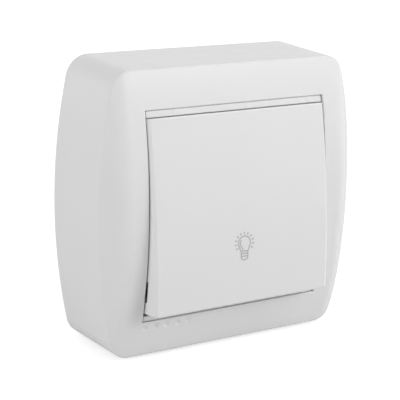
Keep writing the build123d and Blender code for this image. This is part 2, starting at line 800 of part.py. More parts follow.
with BuildPart() as fixed_contact:
    with BuildSketch(at_depth(fixed_face - contact_height)):
        with Locations((nose_x, contact_z)):
            Circle(contact_diameter / 2)
    extrude(amount=contact_height)
    fillet(fixed_contact.faces().sort_by(Axis.Y)[0].edges(), contact_height / 3)
save(fixed_contact, "fixed_contact")

# Bars: brass strips from the contacts to the terminals
tongue_top = cage_bottom + cage_height + tongue_overrun


def strip_block(x_range, z_range, back_depth):
    """Add a flat stretch of bar, one strip thick, in front of a depth."""
    with BuildSketch(at_depth(back_depth)) as stretch:
        with Locations((sum(x_range) / 2, sum(z_range) / 2)):
            Rectangle(x_range[1] - x_range[0], z_range[1] - z_range[0])
    extrude(stretch.sketch, amount=strip)


def tongue(name, bottom):
    """Add the stretch of bar that lies in a terminal cage."""
    x = terminal_x[name]
    strip_block((x - tongue_width / 2, x + tongue_width / 2), (bottom, tongue_top), bar_back)


with BuildPart() as line_bar:
    tongue("line", blade_root_z)
    strip_block(
        (terminal_x["line"] - tongue_width / 2, nose_x + blade_width / 2),
        (blade_root_z, blade_top_z + bar_margin),
        bar_back,
    )
    with BuildSketch(at_depth(blade_back)):
        with Locations((nose_x, (blade_root_z + blade_top_z) / 2)):
            Circle(bar_boss / 2)
    extrude(amount=blade_thickness * 2)
save(line_bar, "line_bar")

with BuildPart() as load_bar:
    half_tongue = tongue_width / 2
    load_x = (terminal_x["load"] - half_tongue, terminal_x["load"] + half_tongue)
    riser_top = cage_bottom - riser_gap
    tab_z = (contact_z - half_tongue, contact_z + half_tongue)
    strip_block((nose_x - half_tongue, load_x[1]), tab_z, floor_depth)
    strip_block(load_x, (contact_z - half_tongue, riser_top), floor_depth)
    with BuildSketch(Plane.XY.offset(riser_top - strip)):
        with Locations((terminal_x["load"], -(floor_depth + blade_back) / 2)):
            Rectangle(tongue_width, blade_back - floor_depth)
    extrude(amount=strip)
    tongue("load", riser_top - strip)
save(load_bar, "load_bar")

with BuildPart() as neutral_bar:
    tongue("neutral", neutral_bar_bottom)
save(neutral_bar, "neutral_bar")

# Terminals: cages with a screw each
cage_centre_z = cage_bottom + cage_height / 2
for terminal, x in terminal_x.items():
    with BuildPart() as cage:
        with BuildSketch(Plane.XY.offset(cage_bottom)):
            with Locations((x, -(cage_back + cage_front) / 2)):
                Rectangle(cage_width, cage_front - cage_back)
            with Locations((x, -(cage_back + cage_wall + cage_front - cage_front_wall) / 2)):
                Rectangle(
                    cage_width - 2 * cage_wall,
                    cage_front - cage_front_wall - cage_back - cage_wall,
                    mode=Mode.SUBTRACT,
                )
        extrude(amount=cage_height)
        with BuildSketch(at_depth(cage_front)):
            with Locations((x, cage_centre_z)):
                Circle(terminal_shank / 2 + small_clearance)
        extrude(amount=-cage_front_wall, mode=Mode.SUBTRACT)
    save(cage, f"terminal_cage_{terminal}")


def slotted_screw(places, tip_depth, seat_depth, shank, head, head_height):
    """Slotted screws at these places, heads to the front, from tip to seat."""
    with BuildSketch(at_depth(tip_depth)) as shanks:
        with Locations(*places):
            Circle(shank / 2)
    extrude(shanks.sketch, amount=seat_depth - tip_depth)
    with BuildSketch(at_depth(seat_depth)) as heads:
        with Locations(*places):
            Circle(head / 2)
    extrude(heads.sketch, amount=head_height)
    with BuildSketch(at_depth(seat_depth + head_height)) as slots:
        with Locations(*places):
            Rectangle(head, slot_width)
    extrude(slots.sketch, amount=-slot_depth, mode=Mode.SUBTRACT)


with BuildPart() as terminal_screws:
    slotted_screw(
        [(x, cage_centre_z) for x in terminal_x.values()],
        blade_back + terminal_screw_tip,
        cage_front + head_gap,
        terminal_shank,
        terminal_head,
        terminal_head_height,
    )
save(terminal_screws, "terminal_screws")

with BuildPart() as mechanism_screws:
    slotted_screw(
        [(-post_x, 0), (post_x, 0)],
        base_plate + mech_screw_tip,
        frame_front_depth,
        mech_shank,
        mech_head,
        mech_head_height,
    )
save(mechanism_screws, "mechanism_screws")

# Lamp, its resistor and leads
with BuildPart() as pilot_lamp:
    with BuildSketch(Plane.YZ.offset(lamp_left)):
        with Locations((-lamp_depth, lamp_z)):
            Circle(lamp_diameter / 2)
    extrude(amount=lamp_length)
    fillet(pilot_lamp.faces().sort_by(Axis.X)[-1].edges(), lamp_diameter / 2 - lamp_tip_flat)
save(pilot_lamp, "pilot_lamp")

with BuildPart() as lamp_resistor:
    with BuildSketch(Plane.XY.offset(resistor_bottom)):
        with Locations((resistor_x, -resistor_depth)):
            Circle(resistor_diameter / 2)
    extrude(amount=resistor_length)
    fillet(lamp_resistor.edges().filter_by(GeomType.CIRCLE), resistor_radius)
save(lamp_resistor, "lamp_resistor")


def lead(points):
    """Sweep a round lead along straight runs with rounded corners."""
    with BuildLine() as route:
        FilletPolyline(*points, radius=lead_bend)
    with BuildSketch(Plane(route.line @ 0, z_dir=route.line % 0)) as section:
        Circle(lead_diameter / 2)
    sweep(section.sketch, path=route.line)


lead_side = lamp_left - lead_side_step
lead_back = floor_depth + lead_floor_gap
channel_z = (stop_top - stop_height + lamp_z + lamp_rib_height / 2) / 2
bar_touch = bar_back - lead_diameter / 2 - small_clearance / 2
upper_lead_z = lamp_z + lead_spacing / 2
lower_lead_z = lamp_z - lead_spacing / 2
resistor_top = resistor_bottom + resistor_length
with BuildPart() as lamp_lead_line:
    lead(
        [
            (lamp_left, -lamp_depth, upper_lead_z),
            (lead_side, -lamp_depth, upper_lead_z),
            (lead_side, -lead_back, channel_z),
            (lead_end_x - lead_turn, -lead_back, channel_z),
            (lead_end_x, -bar_touch, blade_root_z - lead_joint),
            (lead_end_x, -bar_touch, blade_root_z + lead_joint),
        ]
    )
save(lamp_lead_line, "lamp_lead_line")

with BuildPart() as lamp_lead_neutral:
    lead(
        [
            (lamp_left, -lamp_depth, lower_lead_z),
            (resistor_x, -lamp_depth, lower_lead_z),
            (resistor_x, -resistor_depth, resistor_bottom - lead_straight),
            (resistor_x, -resistor_depth, resistor_bottom),
        ]
    )
    lead(
        [
            (resistor_x, -resistor_depth, resistor_top),
            (resistor_x, -resistor_depth, resistor_top + lead_straight),
            (resistor_x, -bar_touch, neutral_bar_bottom - lead_neutral_start),
            (resistor_x, -bar_touch, neutral_bar_bottom + lead_neutral_end),
        ]
    )
save(lamp_lead_neutral, "lamp_lead_neutral")
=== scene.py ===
# %% [markdown]
# # An illuminated push-button switch in Blender
#
# This lesson dresses a small wall switch. Its solids come ready made from the CAD frame: the cover,
# the button, the front frame, the base and all the small parts inside. Blender adds what the solids
# can't show, which is the surface of each material, the lamp symbol printed on the button, the light
# and the camera. Everything is in metres, and one constant turns the solids' millimetres into them.
# X runs to the right, Z up, and the front faces -Y.

import json
import math

import bmesh
import bpy
from mathutils import Matrix, Vector


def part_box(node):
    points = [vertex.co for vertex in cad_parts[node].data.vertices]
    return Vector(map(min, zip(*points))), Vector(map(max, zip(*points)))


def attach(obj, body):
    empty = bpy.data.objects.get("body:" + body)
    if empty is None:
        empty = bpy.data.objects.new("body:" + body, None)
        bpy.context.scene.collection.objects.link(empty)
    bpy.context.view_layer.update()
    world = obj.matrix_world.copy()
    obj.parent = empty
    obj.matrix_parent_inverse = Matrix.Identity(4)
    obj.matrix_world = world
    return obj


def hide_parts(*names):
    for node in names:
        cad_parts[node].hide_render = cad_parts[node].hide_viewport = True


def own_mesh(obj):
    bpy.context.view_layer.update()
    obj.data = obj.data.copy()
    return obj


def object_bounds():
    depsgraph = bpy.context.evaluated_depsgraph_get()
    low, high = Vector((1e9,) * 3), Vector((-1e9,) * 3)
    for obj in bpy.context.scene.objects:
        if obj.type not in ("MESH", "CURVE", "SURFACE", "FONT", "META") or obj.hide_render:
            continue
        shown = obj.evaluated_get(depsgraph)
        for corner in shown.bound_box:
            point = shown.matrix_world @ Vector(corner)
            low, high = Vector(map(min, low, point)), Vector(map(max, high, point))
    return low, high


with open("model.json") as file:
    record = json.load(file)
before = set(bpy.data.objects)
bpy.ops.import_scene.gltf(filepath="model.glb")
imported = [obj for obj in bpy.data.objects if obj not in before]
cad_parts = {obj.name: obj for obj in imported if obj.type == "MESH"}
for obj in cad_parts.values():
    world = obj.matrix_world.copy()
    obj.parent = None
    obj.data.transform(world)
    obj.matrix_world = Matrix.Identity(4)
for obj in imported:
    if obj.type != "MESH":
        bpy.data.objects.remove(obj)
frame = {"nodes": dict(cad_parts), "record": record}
cad_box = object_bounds()
nodes = frame["nodes"]
MM = 0.001
print(len(nodes), "nodes, CAD box", [round(v / MM, 2) for corner in cad_box for v in corner], "mm")

# %% [markdown]
# ## The button's own frame
#
# The button turns on a pivot 22 mm in front of the wall and rests 6.2 degrees open, its lower edge
# out. A small matrix takes a point from the button's own tilted frame to the room: x to the right,
# y up along the face, z out of it. The print is laid on the face with it.

# %% The button's frame
PIVOT_DEPTH = 22.0 * MM
REST_TILT = math.radians(6.2)

out_of_face = Vector((0.0, -math.cos(REST_TILT), math.sin(REST_TILT)))
up_the_face = Vector((0.0, math.sin(REST_TILT), math.cos(REST_TILT)))
button_frame = Matrix.Translation((0.0, -PIVOT_DEPTH, 0.0)) @ Matrix(
    (
        (1.0, up_the_face.x, out_of_face.x),
        (0.0, up_the_face.y, out_of_face.y),
        (0.0, up_the_face.z, out_of_face.z),
    )
).to_4x4()
print("the face looks along", tuple(round(v, 3) for v in out_of_face))

# %% [markdown]
# ## A helper for node materials
#
# Each finish below is a node tree. Building one by hand is mostly adding a node, setting its sockets
# and linking it, so a few short helpers do that. They keep each material down to the lines that say
# something about the surface.

# %% Node helpers
NOISE_LOW, NOISE_HIGH = 0.3, 0.7
MIX_FACTOR, MIX_DARK, MIX_LIGHT, MIX_RESULT = 0, 6, 7, 2  # the colour sockets of a Mix node


def new_material(name):
    """A material with an empty node tree but for its shader and output."""
    material = bpy.data.materials.new(name)
    material.use_nodes = True
    tree = material.node_tree
    shader = tree.nodes["Principled BSDF"]
    return material, tree, shader


def add_node(tree, kind, **settings):
    """Add a node, and set its properties or, where it has no such property, its input sockets."""
    node = tree.nodes.new(kind)
    for key, value in settings.items():
        if hasattr(node, key):
            setattr(node, key, value)
        else:
            node.inputs[key.replace("_", " ")].default_value = value
    return node


def object_pattern(tree, stretch=(1.0, 1.0, 1.0)):
    """Object coordinates, scaled along each axis, so that a pattern can be drawn out along one."""
    place = add_node(tree, "ShaderNodeTexCoord")
    mapping = add_node(tree, "ShaderNodeMapping")
    mapping.inputs["Scale"].default_value = stretch
    tree.links.new(place.outputs["Object"], mapping.inputs["Vector"])
    return mapping.outputs["Vector"]


def noise(tree, vector, scale, detail=3.0, roughness=0.5):
    """A noise texture's grey output on these coordinates."""
    texture = add_node(tree, "ShaderNodeTexNoise", Scale=scale, Detail=detail, Roughness=roughness)
    tree.links.new(vector, texture.inputs["Vector"])
    return texture.outputs["Fac"]


def spread(tree, value, low, high):
    """Map a grey value from the middle range that noise fills to low and high."""
    mapper = add_node(tree, "ShaderNodeMapRange")
    mapper.inputs["From Min"].default_value = NOISE_LOW
    mapper.inputs["From Max"].default_value = NOISE_HIGH
    mapper.inputs["To Min"].default_value = low
    mapper.inputs["To Max"].default_value = high
    tree.links.new(value, mapper.inputs["Value"])
    return mapper.outputs["Result"]


def between(tree, value, dark, light):
    """A colour between two, by a grey value."""
    mixer = add_node(tree, "ShaderNodeMix", data_type="RGBA")
    mixer.inputs[MIX_DARK].default_value = (*dark, 1.0)
    mixer.inputs[MIX_LIGHT].default_value = (*light, 1.0)
    tree.links.new(value, mixer.inputs[MIX_FACTOR])
    return mixer.outputs[MIX_RESULT]


def bump(tree, value, shader, strength, distance):
    """Let a grey value raise the surface by up to distance, in metres."""
    raised = add_node(tree, "ShaderNodeBump", Strength=strength, Distance=distance)
    tree.links.new(value, raised.inputs["Height"])
    tree.links.new(raised.outputs["Normal"], shader.inputs["Normal"])


print("node helpers ready")

# %% [markdown]
# ## Moulded plastic
#
# The cover and the button are glossy white thermoplastic. Such a moulding looks even from a step
# away, but up close its gloss varies a little where the melt cooled, and the skin has a very fine
# orange peel. Three noises give that: a wide one tints the colour, a closer one changes the
# roughness, and a fine one raises the surface by a few microns at most. The duller grades inside use
# the same recipe with other numbers.

# %% Plastic materials
COOLING_SCALE = 45.0
COOLING_SHADE = 0.985
GLOSS_SCALE = 160.0
GLOSS_CHANGE = 0.05
PEEL_SCALE = 1400.0
PEEL_HEIGHT = 0.02 * MM
PLASTIC_REFRACTION = 1.5


def moulded_plastic(name, colour, roughness, peel=0.12):
    """White or tinted plastic: a nearly even colour, a slowly changing gloss and a fine peel."""
    material, tree, shader = new_material(name)
    place = object_pattern(tree)
    cooling = noise(tree, place, COOLING_SCALE)
    darker = tuple(part * COOLING_SHADE for part in colour)
    tree.links.new(between(tree, cooling, darker, colour), shader.inputs["Base Color"])
    gloss = spread(tree, noise(tree, place, GLOSS_SCALE), roughness, roughness + GLOSS_CHANGE)
    tree.links.new(gloss, shader.inputs["Roughness"])
    bump(tree, noise(tree, place, PEEL_SCALE, detail=2.0), shader, peel, PEEL_HEIGHT)
    shader.inputs["IOR"].default_value = PLASTIC_REFRACTION
    return material


finishes = {
    "cover_white": moulded_plastic("cover_white", (0.80, 0.80, 0.80), 0.22),
    "button_white": moulded_plastic("button_white", (0.80, 0.80, 0.80), 0.20),
    "frame_white": moulded_plastic("frame_white", (0.80, 0.80, 0.80), 0.24),
    "base_white": moulded_plastic("base_white", (0.78, 0.78, 0.77), 0.38, peel=0.25),
    "rocker_white": moulded_plastic("rocker_white", (0.72, 0.72, 0.70), 0.45, peel=0.3),
    "housing_white": moulded_plastic("housing_white", (0.74, 0.74, 0.71), 0.5, peel=0.35),
    "lid_grey": moulded_plastic("lid_grey", (0.27, 0.28, 0.29), 0.48, peel=0.35),
}
print("plastics:", ", ".join(finishes))

# %% [markdown]
# ## Metals
#
# The conducting parts are stamped from brass strip, the cages and screws are zinc plated steel, and
# the spring and leads are drawn wire. Rolling and drawing leave fine lines along one direction, so
# the noise is stretched along one axis before it sets the roughness and a little height. A slow,
# unstretched noise adds the faint tarnish that handling leaves.

# %% Metal materials
LINE_SCALE = 900.0
LINE_GLOSS = 0.16
LINE_HEIGHT = 0.03 * MM
STAIN_SCALE = 260.0
DRAWN_OUT = 0.08
ALONG_X, ALONG_Z, ALL_WAYS = (DRAWN_OUT, 1.0, 1.0), (1.0, 1.0, DRAWN_OUT), (1.0, 1.0, 1.0)


def worked_metal(name, colour, roughness, stretch, tarnish=0.82, relief=0.15):
    """Metal with lines drawn out along the axis that stretch makes small, and a slow tarnish."""
    material, tree, shader = new_material(name)
    lines = noise(tree, object_pattern(tree, stretch), LINE_SCALE, detail=4.0)
    stains = spread(tree, noise(tree, object_pattern(tree), STAIN_SCALE), 0.0, 1.0)
    stained = tuple(part * tarnish for part in colour)
    tree.links.new(between(tree, stains, stained, colour), shader.inputs["Base Color"])
    tree.links.new(spread(tree, lines, roughness, roughness + LINE_GLOSS), shader.inputs["Roughness"])
    bump(tree, lines, shader, relief, LINE_HEIGHT)
    shader.inputs["Metallic"].default_value = 1.0
    return material


finishes.update(
    {
        "brass": worked_metal("brass", (0.72, 0.52, 0.22), 0.26, ALONG_Z),
        "blade_bronze": worked_metal("blade_bronze", (0.62, 0.36, 0.2), 0.24, ALONG_Z, tarnish=0.75),
        "contact_silver": worked_metal("contact_silver", (0.82, 0.81, 0.79), 0.3, ALL_WAYS, tarnish=0.7),
        "cage_steel": worked_metal("cage_steel", (0.56, 0.57, 0.55), 0.32, ALONG_X),
        "screw_steel": worked_metal("screw_steel", (0.62, 0.6, 0.54), 0.28, ALL_WAYS, relief=0.25),
        "spring_steel": worked_metal("spring_steel", (0.42, 0.42, 0.43), 0.22, ALONG_Z),
        "tinned_wire": worked_metal("tinned_wire", (0.66, 0.66, 0.67), 0.3, ALL_WAYS),
    }
)
print("finishes so far:", len(finishes))

# %% [markdown]
# ## Clear and lacquered parts
#
# The lamp is a small glass tube and the light guide a clear moulded rod. Both are transmission
# shaders, the rod with a faint haze. The resistor is lacquered in a buff colour and carries colour
# rings, which are drawn as steps along its length.

# %% Clear materials
HAZE_SCALE = 220.0
HAZE_CHANGE = 0.06
HAZE_PALER = 1.04


def clear_body(name, tint, roughness, refraction):
    """Glass or clear plastic whose haze changes a little from place to place."""
    material, tree, shader = new_material(name)
    haze = noise(tree, object_pattern(tree), HAZE_SCALE)
    tree.links.new(spread(tree, haze, roughness, roughness + HAZE_CHANGE), shader.inputs["Roughness"])
    pale = tuple(min(part * HAZE_PALER, 1.0) for part in tint)
    tree.links.new(between(tree, haze, tint, pale), shader.inputs["Base Color"])
    shader.inputs["Transmission Weight"].default_value = 1.0
    shader.inputs["IOR"].default_value = refraction
    return material


finishes["clear_plastic"] = clear_body("clear_plastic", (0.9, 0.93, 0.94), 0.08, 1.49)
finishes["lamp_glass"] = clear_body("lamp_glass", (0.95, 0.86, 0.78), 0.02, 1.5)
print("clear finishes added:", len(finishes))

# %% Resistor material
RING_PITCH = 1.2 * MM
RING_SHARE = 0.4
SPECKLE_SCALE = 1500.0
LACQUER_ROUGHNESS = (0.28, 0.4)
LACQUER_RELIEF = 0.3
LACQUER_HEIGHT = 0.03 * MM


def ringed_lacquer(name, colour, ring):
    """Lacquer with rings across its length, from a repeating ramp along Z."""
    material, tree, shader = new_material(name)
    place = add_node(tree, "ShaderNodeTexCoord")
    parts = add_node(tree, "ShaderNodeSeparateXYZ")
    tree.links.new(place.outputs["Object"], parts.inputs["Vector"])
    along = add_node(tree, "ShaderNodeMath", operation="WRAP")
    along.inputs[1].default_value = RING_PITCH
    along.inputs[2].default_value = 0.0
    tree.links.new(parts.outputs["Z"], along.inputs[0])
    is_ring = add_node(tree, "ShaderNodeMath", operation="LESS_THAN")
    is_ring.inputs[1].default_value = RING_PITCH * RING_SHARE
    tree.links.new(along.outputs["Value"], is_ring.inputs[0])
    tree.links.new(between(tree, is_ring.outputs["Value"], colour, ring), shader.inputs["Base Color"])
    speckle = noise(tree, object_pattern(tree), SPECKLE_SCALE)
    tree.links.new(spread(tree, speckle, *LACQUER_ROUGHNESS), shader.inputs["Roughness"])
    bump(tree, speckle, shader, LACQUER_RELIEF, LACQUER_HEIGHT)
    return material


finishes["resistor_body"] = ringed_lacquer("resistor_body", (0.55, 0.42, 0.24), (0.16, 0.07, 0.03))
print("ring pitch", RING_PITCH / MM, "mm")

# %% [markdown]
# ## Dress the solids
#
# The record says which finish each node has. Only the material in a node's slot changes here. Its
# mesh stays as the CAD made it.

# %% Assign the finishes
for part in frame["record"]["subparts"]:
    piece = nodes[part["node"]]
    material = finishes[part["material_slot"]]
    if not piece.material_slots:
        piece.data.materials.append(material)
    for place in piece.material_slots:
        place.material = material

# %% [markdown]
# ## The return spring
#
# A small compression spring lifts the button again. It stands between the rocker's tail and a ledge
# of the housing, and when the button is pressed it shortens, which a rigid solid can't do. So this
# piece stands for the solid: a wire's round section is carried up a helix by the Screw modifier, in
# the solid's own box, and its two ends are closed.

# %% Return spring
SPRING_TURNS = 5
SPRING_WIRE = 0.6 * MM
WIRE_SIDES = 16
TURN_STEPS = 32
MERGE_DISTANCE = 0.001 * MM
SMOOTH_BELOW = math.radians(40.0)

spring_low, spring_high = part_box("return_spring")
spring_x, spring_y = ((spring_low[i] + spring_high[i]) / 2 for i in (0, 1))
spring_length = spring_high[2] - spring_low[2]
coil_radius = (spring_high[0] - spring_low[0] - SPRING_WIRE) / 2

bpy.ops.object.select_all(action="DESELECT")
bpy.ops.mesh.primitive_circle_add(
    vertices=WIRE_SIDES,
    radius=SPRING_WIRE / 2,
    location=(coil_radius, 0.0, SPRING_WIRE / 2),
    rotation=(math.radians(90.0), 0.0, 0.0),
)
bpy.ops.object.transform_apply(location=True, rotation=True, scale=True)
spring_coil = bpy.context.object
spring_coil.name = "spring_coil"
helix = spring_coil.modifiers.new("helix", "SCREW")
helix.axis = "Z"
helix.angle = math.radians(360.0)
helix.iterations = SPRING_TURNS
helix.screw_offset = (spring_length - SPRING_WIRE) / SPRING_TURNS
helix.steps = helix.render_steps = TURN_STEPS
bpy.ops.object.modifier_apply(modifier="helix")
bpy.ops.object.mode_set(mode="EDIT")
bpy.ops.mesh.select_all(action="SELECT")
bpy.ops.mesh.remove_doubles(threshold=MERGE_DISTANCE)
bpy.ops.mesh.fill_holes(sides=0)
bpy.ops.mesh.select_all(action="SELECT")
bpy.ops.mesh.normals_make_consistent(inside=False)
bpy.ops.object.mode_set(mode="OBJECT")
bpy.ops.object.shade_smooth_by_angle(angle=SMOOTH_BELOW)
spring_coil.location = (spring_x, spring_y, spring_low[2])
bpy.ops.object.transform_apply(location=True, rotation=True, scale=True)
spring_coil.data.materials.append(finishes["spring_steel"])
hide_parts("return_spring")
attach(spring_coil, "fixed")
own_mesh(spring_coil)
print("spring", round(spring_length / MM, 2), "mm long,", len(spring_coil.data.polygons), "faces")

# %% [markdown]
# ## The printed symbol: the bulb
#
# A lamp symbol is printed in pale grey on the lower half of the button: a bulb with a screw cap and
# short rays around it. A print is far thinner than a hair, but as a piece of its own it stays sharp
# at any distance. It is drawn flat around the world's origin, x to the right and y up, and laid on
# the face at the end. The bulb starts as a filled circle. Its lowest points are drawn down and
# together into a neck, and the face is inset by the width of a stroke. What is left after its middle
# is deleted is the outline.

# %% Helpers for the print
STROKE = 0.36 * MM
ROUND_STEPS = 64
symbol_pieces = []


def start_edit():
    """Enter edit mode on the active object with nothing selected, and return its mesh."""
    bpy.ops.object.mode_set(mode="EDIT")
    bpy.ops.mesh.select_all(action="DESELECT")
    return bmesh.from_edit_mesh(bpy.context.edit_object.data)


def select_points(mesh, wanted):
    """Select the points that pass a test of their place, and the edges and faces between them."""
    for point in mesh.verts:
        point.select = wanted(point.co)
    mesh.select_flush_mode()
    bmesh.update_edit_mesh(bpy.context.edit_object.data)
    return sum(point.select for point in mesh.verts)


def keep_outline(width):
    """Inset the filled shape by a stroke and delete its middle."""
    bpy.ops.mesh.select_all(action="SELECT")
    bpy.ops.mesh.inset(thickness=width)
    bpy.ops.mesh.delete(type="FACE")


def end_edit(name):
    """Leave edit mode, name the piece and keep it for the symbol."""
    bpy.ops.object.mode_set(mode="OBJECT")
    piece = bpy.context.object
    piece.name = name
    symbol_pieces.append(piece)
    return piece


print("a stroke is", STROKE / MM, "mm wide")

# %% Bulb outline
BULB_X, BULB_Y = -0.25 * MM, -9.53 * MM
BULB_RADIUS = 1.87 * MM + STROKE / 2
NECK_Y = -11.7 * MM - STROKE / 2
NECK_HALF = 1.03 * MM + STROKE / 2
NECK_START = 0.45

bpy.ops.object.select_all(action="DESELECT")
bpy.ops.mesh.primitive_circle_add(
    vertices=ROUND_STEPS, radius=BULB_RADIUS, fill_type="NGON", location=(BULB_X, BULB_Y, 0.0)
)
bpy.ops.object.transform_apply(location=True, rotation=True, scale=True)
outline = start_edit()
cut = BULB_Y - BULB_RADIUS * NECK_START
lowered = select_points(outline, lambda co: co.y < cut)
half_chord = max(abs(point.co.x - BULB_X) for point in outline.verts if point.select)
bpy.ops.transform.resize(
    value=(NECK_HALF / half_chord, 0.0, 1.0), center_override=(BULB_X, NECK_Y, 0.0)
)
keep_outline(STROKE)
bulb_outline = end_edit("bulb_outline")
print("bulb:", lowered, "points drawn down to the neck")

# %% [markdown]
# ## The printed symbol: cap, turns and highlight
#
# The screw cap is the same trick turned over: a filled circle whose upper half is drawn up into the
# neck. Its outline is cut where it meets the neck's own line, so that a U is left and no two strokes
# lie on each other. Two thin bars across it are the turns of its thread. The highlight inside the
# glass is a smaller bulb outline. It is cut once upright and once level, so that only its left part
# stays, to a little below its top.

# %% Cap and its turns
CAP_HALF = NECK_HALF
CAP_BOTTOM_Y = -14.09 * MM - STROKE / 2
CAP_FLATNESS = 0.85
CAP_ROUND_Y = CAP_BOTTOM_Y + CAP_HALF * CAP_FLATNESS
CAP_SHOULDER = 0.1
CAP_STEPS = 40
FLAT_ANGLE = math.radians(1.0)
TURN_HEIGHTS = (-12.34 * MM, -13.08 * MM)
TURN_CUTS = 4

bpy.ops.object.select_all(action="DESELECT")
bpy.ops.mesh.primitive_circle_add(
    vertices=CAP_STEPS, radius=CAP_HALF, fill_type="NGON", location=(BULB_X, CAP_ROUND_Y, 0.0)
)
bpy.ops.object.transform_apply(location=True, rotation=True, scale=True)
cap = start_edit()
bpy.ops.mesh.select_all(action="SELECT")
bpy.ops.transform.resize(value=(1.0, CAP_FLATNESS, 1.0), center_override=(BULB_X, CAP_ROUND_Y, 0.0))
select_points(cap, lambda co: co.y > CAP_ROUND_Y + CAP_HALF * CAP_SHOULDER)
bpy.ops.transform.resize(value=(1.0, 0.0, 1.0), center_override=(BULB_X, NECK_Y + STROKE, 0.0))
bpy.ops.mesh.select_all(action="SELECT")
bpy.ops.mesh.dissolve_limited(angle_limit=FLAT_ANGLE)
keep_outline(STROKE)
bpy.ops.mesh.select_all(action="SELECT")
bpy.ops.mesh.bisect(plane_co=(0.0, NECK_Y, 0.0), plane_no=(0.0, 1.0, 0.0), clear_outer=True)
end_edit("cap_outline")

for count, height in enumerate(TURN_HEIGHTS):
    bpy.ops.object.select_all(action="DESELECT")
    bpy.ops.mesh.primitive_plane_add(size=1.0, location=(BULB_X, height, 0.0))
    bpy.ops.transform.resize(value=(2 * (CAP_HALF - STROKE), STROKE, 1.0))
    bpy.ops.object.transform_apply(location=True, rotation=True, scale=True)
    start_edit()
    bpy.ops.mesh.select_all(action="SELECT")
    bpy.ops.mesh.subdivide(number_cuts=TURN_CUTS)
    end_edit(f"cap_turn_{count}")
print("cap with", len(TURN_HEIGHTS), "turns")

# %% Highlight in the glass
GLINT_RADIUS = 1.3 * MM + STROKE / 2
GLINT_NECK_HALF = 0.47 * MM
GLINT_NECK_START = 0.6
GLINT_SIDE = 0.9
GLINT_TOP = 0.62

bpy.ops.object.select_all(action="DESELECT")
bpy.ops.mesh.primitive_circle_add(
    vertices=ROUND_STEPS, radius=GLINT_RADIUS, fill_type="NGON", location=(BULB_X, BULB_Y, 0.0)
)
bpy.ops.object.transform_apply(location=True, rotation=True, scale=True)
glint = start_edit()
cut = BULB_Y - GLINT_RADIUS * GLINT_NECK_START
select_points(glint, lambda co: co.y < cut)
half_chord = max(abs(point.co.x - BULB_X) for point in glint.verts if point.select)
bpy.ops.transform.resize(
    value=(GLINT_NECK_HALF / half_chord, 0.0, 1.0), center_override=(BULB_X, NECK_Y + STROKE, 0.0)
)
keep_outline(STROKE)
bpy.ops.mesh.select_all(action="SELECT")
bpy.ops.mesh.bisect(
    plane_co=(BULB_X - GLINT_NECK_HALF * GLINT_SIDE, 0.0, 0.0),
    plane_no=(1.0, 0.0, 0.0),
    clear_outer=True,
)
bpy.ops.mesh.select_all(action="SELECT")
bpy.ops.mesh.bisect(
    plane_co=(0.0, BULB_Y + GLINT_RADIUS * GLINT_TOP, 0.0),
    plane_no=(0.0, 1.0, 0.0),
    clear_outer=True,
)
end_edit("glint")
print("highlight drawn")

# %% [markdown]
# ## The printed symbol: rays
#
# Eleven short rays stand round the glass. One ray is modelled as a small bar with rounded corners.
# The spin operator then copies it round the bulb's centre in even steps.

# %% Rays
RAY_COUNT = 11
RAY_STEP = math.radians(24.1)
RAY_MIDDLE = 2.7 * MM
RAY_LENGTH = 0.72 * MM
RAY_WIDTH = 0.4 * MM
RAY_ROUNDING = 0.3

first_ray = math.radians(90.0) - RAY_STEP * (RAY_COUNT - 1) / 2
bpy.ops.object.select_all(action="DESELECT")
bpy.ops.mesh.primitive_plane_add(size=1.0, location=(BULB_X + RAY_MIDDLE, BULB_Y, 0.0))
bpy.ops.transform.resize(value=(RAY_LENGTH, RAY_WIDTH, 1.0))
bpy.ops.object.transform_apply(location=True, rotation=True, scale=True)
start_edit()
bpy.ops.mesh.select_all(action="SELECT")
bpy.ops.mesh.bevel(offset=RAY_WIDTH * RAY_ROUNDING, segments=3, affect="VERTICES")
bpy.ops.mesh.select_all(action="SELECT")
bpy.ops.transform.rotate(
    value=-first_ray, orient_axis="Z", center_override=(BULB_X, BULB_Y, 0.0)
)
bpy.ops.mesh.spin(
    steps=RAY_COUNT - 1,
    dupli=True,
    angle=-RAY_STEP * (RAY_COUNT - 1),
    center=(BULB_X, BULB_Y, 0.0),
    axis=(0.0, 0.0, 1.0),
)
rays_piece = end_edit("rays")
print("rays:", len(rays_piece.data.polygons), "faces")
angles = sorted(
    round(math.degrees(math.atan2(face.center.y - BULB_Y, face.center.x - BULB_X)) % 360)
    for face in rays_piece.data.polygons
)
print("ray angles", angles)

# %% [markdown]
# ## Lay the print on the face
#
# The drawing is joined, cut finely enough to bend, turned into the button's tilted frame and pushed
# onto the crowned face with a Shrinkwrap modifier. A small offset keeps it clear of the plastic, as
# ink stands on a surface, and Solidify gives the ink its thickness. It rides on the body that the
# button is in, so it moves when the button is pressed.

# %% Join, place and wrap the print
INK_LIFT = 0.012 * MM
INK_THICKNESS = 0.01 * MM
FACE_RISE = 9.6 * MM

bpy.ops.object.select_all(action="DESELECT")
for piece in symbol_pieces:
    piece.select_set(True)
bpy.context.view_layer.objects.active = bulb_outline
bpy.ops.object.join()
printed_symbol = bpy.context.object
printed_symbol.name = "printed_symbol"
start_edit()
bpy.ops.mesh.select_all(action="SELECT")
bpy.ops.mesh.quads_convert_to_tris()
bpy.ops.mesh.normals_make_consistent(inside=False)
bpy.ops.object.mode_set(mode="OBJECT")
printed_symbol.matrix_world = button_frame @ Matrix.Translation((0.0, 0.0, FACE_RISE))
bpy.ops.object.transform_apply(location=True, rotation=True, scale=True)

